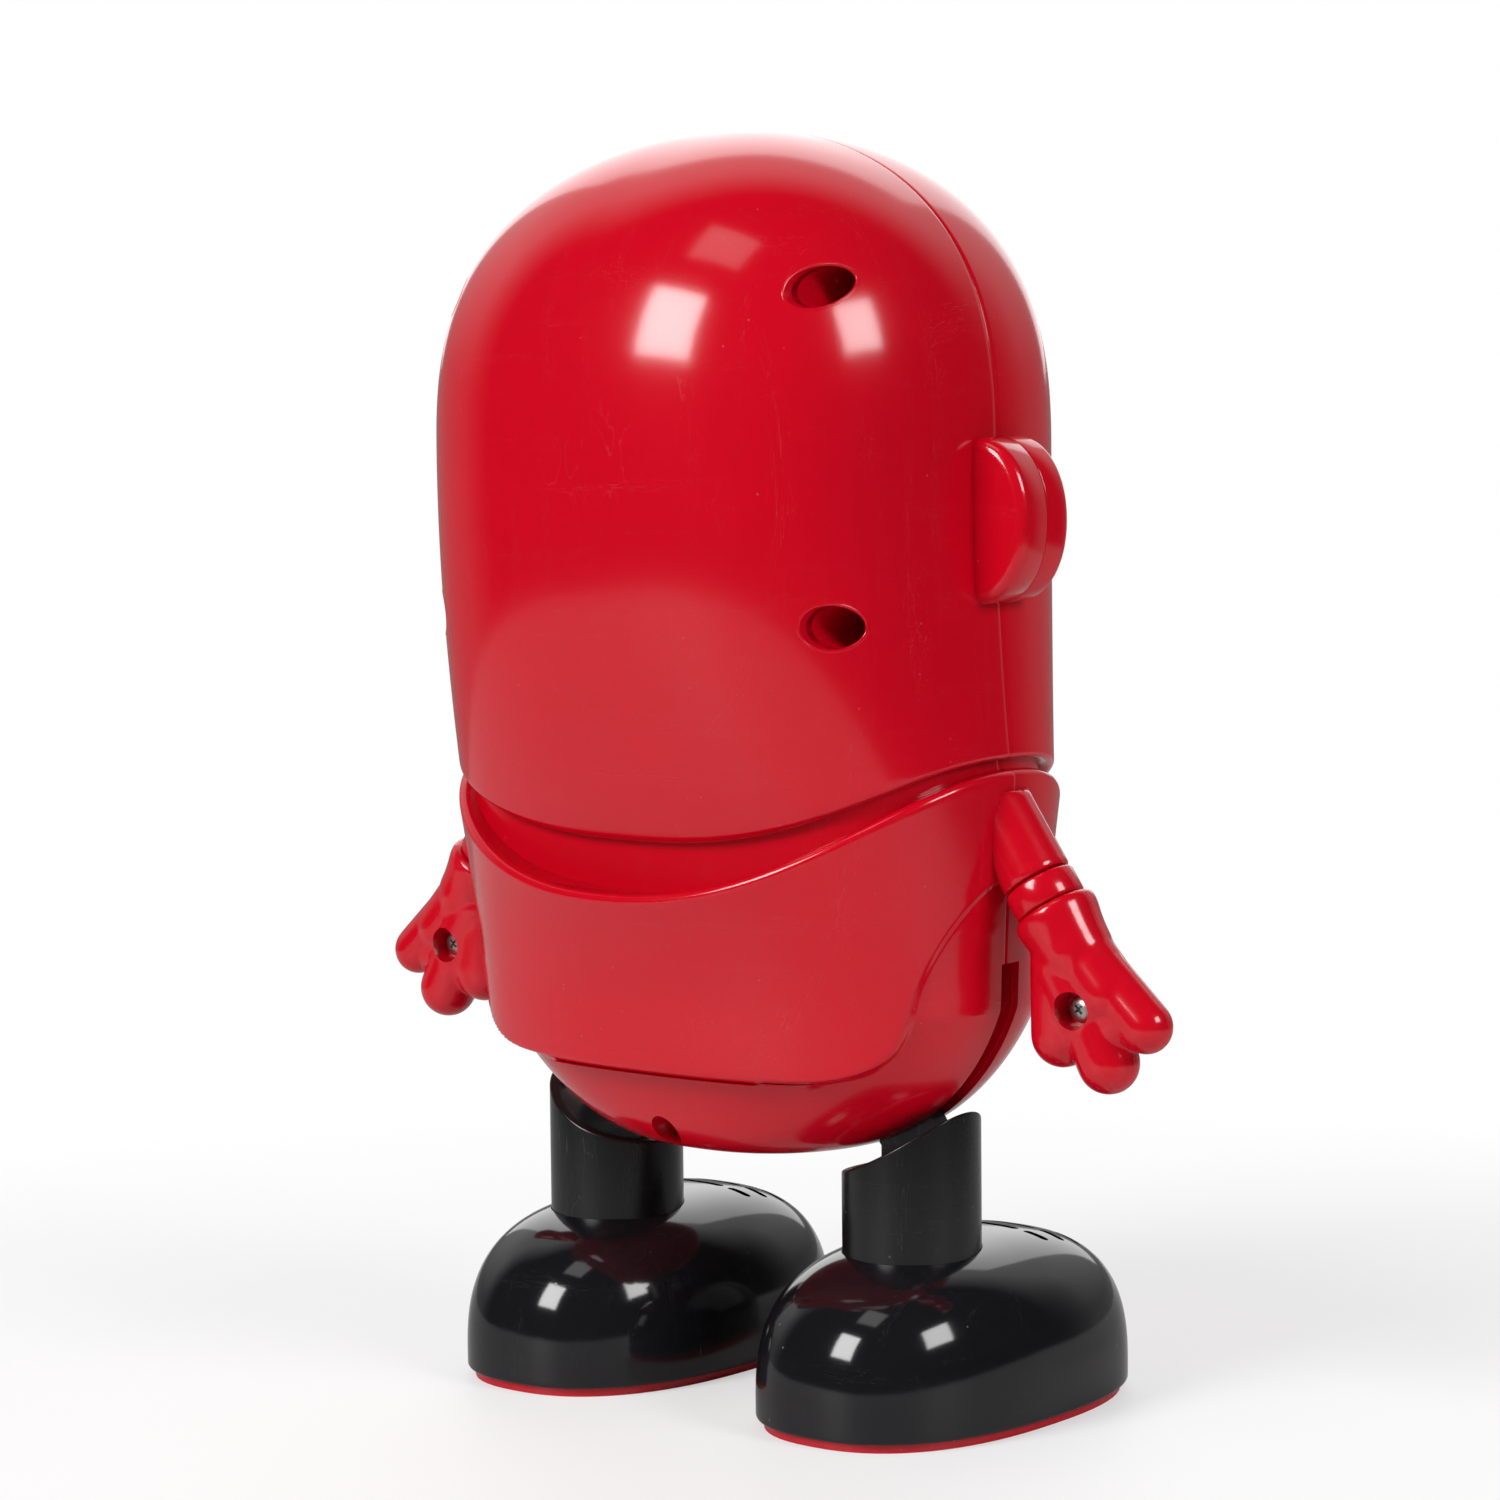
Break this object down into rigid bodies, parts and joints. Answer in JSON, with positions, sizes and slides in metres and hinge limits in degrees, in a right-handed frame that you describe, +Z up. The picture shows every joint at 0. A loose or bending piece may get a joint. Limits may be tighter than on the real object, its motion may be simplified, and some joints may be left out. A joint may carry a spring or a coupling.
{
  "type": "toy robot",
  "caption": "Free-standing toy robot with a big round-cornered head, dark visor, geared legs that swing outwards, domed shoes and mitt hands that turn at the wrist.",
  "frame": {"origin": "on the floor, under the middle of the robot's bounding box", "axes": "+Z up, the face looks along -Y, the robot's left hand is on +X"},
  "size_m": [0.1552, 0.0882, 0.1985],
  "materials": {
    "shell_red": "glossy moulded plastic with fine scratches",
    "visor_dark": "smoked polished plastic",
    "lens_amber": "tinted translucent plastic",
    "panel_black": "fine moulded grain",
    "lamp_white": "milky diffusing plastic",
    "board_green": "lacquered board",
    "screw_steel": "plated steel",
    "case_plastic": "moulded plastic",
    "motor_steel": "zinc plated steel can",
    "gear_nylon": "nylon",
    "arm_black": "glass-filled plastic",
    "tube_black": "satin moulded plastic",
    "shoe_black": "glossy moulded plastic",
    "sole_red": "glossy moulded plastic",
    "battery_can": "plastic-wrapped cell",
    "contact_nickel": "nickel plated spring steel",
    "switch_black": "moulded plastic",
    "knob_grey": "moulded plastic",
    "speaker_grey": "pressed frame and paper cone"
  },
  "bodies": {
    "torso": {"back_shell": "shell_red", "front_shell": "shell_red", "visor": "visor_dark", "chest_lens": "lens_amber", "eye_panel": "panel_black", "eye_lamps": "lamp_white", "chest_lamp": "lamp_white", "circuit_board": "board_green", "board_screws": "screw_steel", "shell_screws": "screw_steel", "gearbox_front": "case_plastic", "gearbox_back": "case_plastic", "gearbox_screws": "screw_steel", "left_hip_pin": "screw_steel", "right_hip_pin": "screw_steel", "left_gear_pin": "screw_steel", "right_gear_pin": "screw_steel", "left_motor": "motor_steel", "right_motor": "motor_steel"},
    "left_leg": {"left_leg_arm": "arm_black", "left_leg_tube": "tube_black", "left_leg_pin": "screw_steel", "left_shoe_upper": "shoe_black", "left_sole": "sole_red", "left_battery_door": "sole_red", "left_shoe_screws": "screw_steel", "left_batteries": "battery_can", "left_battery_contacts": "contact_nickel", "power_switch_case": "switch_black"},
    "left_compound_gear": {"left_compound_gear": "gear_nylon"},
    "left_motor_pinion": {"left_motor_pinion": "gear_nylon"},
    "left_hand": {"left_cuff": "shell_red", "left_glove_back": "shell_red", "left_glove_front": "shell_red", "left_hand_post": "screw_steel", "left_hand_screw": "screw_steel"},
    "right_leg": {"right_leg_arm": "arm_black", "right_leg_tube": "tube_black", "right_leg_pin": "screw_steel", "right_shoe_upper": "shoe_black", "right_sole": "sole_red", "right_battery_door": "sole_red", "right_shoe_screws": "screw_steel", "right_batteries": "battery_can", "right_battery_contacts": "contact_nickel", "speaker": "speaker_grey"},
    "right_compound_gear": {"right_compound_gear": "gear_nylon"},
    "right_motor_pinion": {"right_motor_pinion": "gear_nylon"},
    "right_hand": {"right_cuff": "shell_red", "right_glove_back": "shell_red", "right_glove_front": "shell_red", "right_hand_post": "screw_steel", "right_hand_screw": "screw_steel"},
    "power_switch_knob": {"power_switch_knob": "knob_grey"}
  },
  "joints": [
    {"name": "left_leg_swing", "type": "hinge", "parent": "torso", "child": "left_leg", "pos_m": [0.013, 0, 0.0775], "axis": [0, -1, 0], "range_deg": [0, 24]},
    {"name": "left_gear_turn", "type": "hinge", "parent": "torso", "child": "left_compound_gear", "pos_m": [0.02586, 0, 0.09282], "axis": [0, -1, 0], "range_deg": [-96, 0]},
    {"name": "left_motor_turn", "type": "hinge", "parent": "torso", "child": "left_motor_pinion", "pos_m": [0.01797, 0, 0.10765], "axis": [0, -1, 0], "range_deg": [0, 307.2]},
    {"name": "left_hand_turn", "type": "hinge", "parent": "torso", "child": "left_hand", "pos_m": [0.0542, 0, 0.0847], "axis": [0.565, 0, -0.8251], "range_deg": [-90, 90]},
    {"name": "right_leg_swing", "type": "hinge", "parent": "torso", "child": "right_leg", "pos_m": [-0.013, 0, 0.0775], "axis": [0, 1, 0], "range_deg": [0, 24]},
    {"name": "right_gear_turn", "type": "hinge", "parent": "torso", "child": "right_compound_gear", "pos_m": [-0.02586, 0, 0.09282], "axis": [0, 1, 0], "range_deg": [-96, 0]},
    {"name": "right_motor_turn", "type": "hinge", "parent": "torso", "child": "right_motor_pinion", "pos_m": [-0.01797, 0, 0.10765], "axis": [0, 1, 0], "range_deg": [0, 307.2]},
    {"name": "right_hand_turn", "type": "hinge", "parent": "torso", "child": "right_hand", "pos_m": [-0.0542, 0, 0.0847], "axis": [-0.565, 0, -0.8251], "range_deg": [-90, 90]},
    {"name": "power_switch_slide", "type": "slide", "parent": "left_leg", "child": "power_switch_knob", "axis": [0, 1, 0], "range_m": [0, 0.0032]}
  ],
  "couplings": [
    {"joint": "left_gear_turn", "follows": "left_leg_swing", "ratio": -4},
    {"joint": "left_motor_turn", "follows": "left_leg_swing", "ratio": 12.8},
    {"joint": "right_gear_turn", "follows": "right_leg_swing", "ratio": -4},
    {"joint": "right_motor_turn", "follows": "right_leg_swing", "ratio": 12.8}
  ]
}
